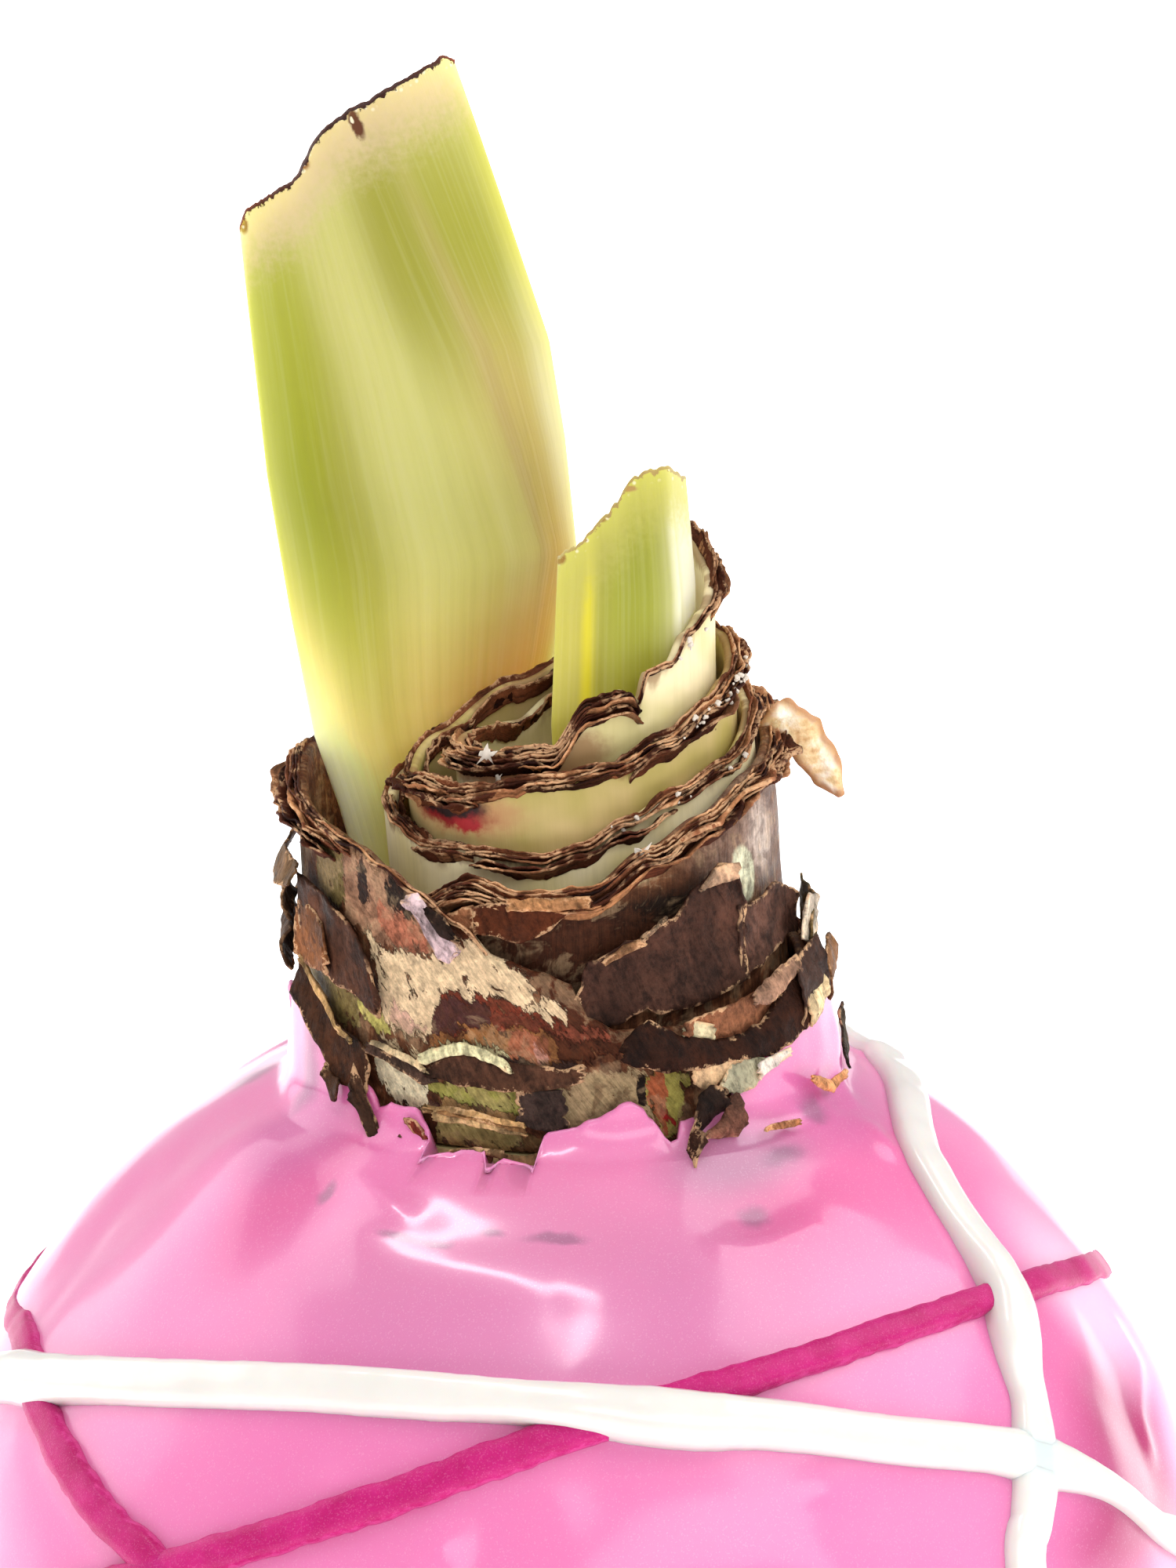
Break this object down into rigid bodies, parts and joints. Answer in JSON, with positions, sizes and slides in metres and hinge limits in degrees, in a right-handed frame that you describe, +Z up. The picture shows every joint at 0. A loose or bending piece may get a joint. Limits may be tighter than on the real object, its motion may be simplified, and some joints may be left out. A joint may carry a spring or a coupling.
{
  "type": "waxed amaryllis bulb",
  "caption": "Flower bulb dipped in pink wax with poured white and magenta wax lines, cut neck scales, torn brown tunic and cut leaf stubs.",
  "frame": {"origin": "middle of the flat wax foot that the bulb rests on", "axes": "+Z up through the neck, -Y towards the front of the bulb, +X to the right seen from the front"},
  "size_m": [0.1008, 0.1013, 0.1608],
  "materials": {
    "pink_wax": "gloss",
    "white_wax": "gloss",
    "magenta_wax": "satin",
    "bulb_flesh": "matte",
    "pale_scale": "satin",
    "dried_scale": "matte",
    "leaf": "satin",
    "dry_tunic": "matte",
    "straw_tunic": "matte"
  },
  "bodies": {
    "root": {"wax_coat": "pink_wax", "white_wax_lines": "white_wax", "magenta_wax_lines": "magenta_wax", "bulb_body": "bulb_flesh", "scale_1": "pale_scale", "scale_2": "pale_scale", "scale_3": "pale_scale", "scale_4": "dried_scale", "outer_scale": "dried_scale", "tall_leaf": "leaf", "short_leaf": "leaf", "tunic_chip": "dry_tunic", "tunic_front": "dry_tunic", "tunic_band": "dry_tunic", "tunic_hem": "dry_tunic", "tunic_left": "dry_tunic", "tunic_right": "dry_tunic", "tunic_back_right": "dry_tunic", "tunic_back_left": "dry_tunic", "loose_strip": "straw_tunic"}
  },
  "joints": []
}
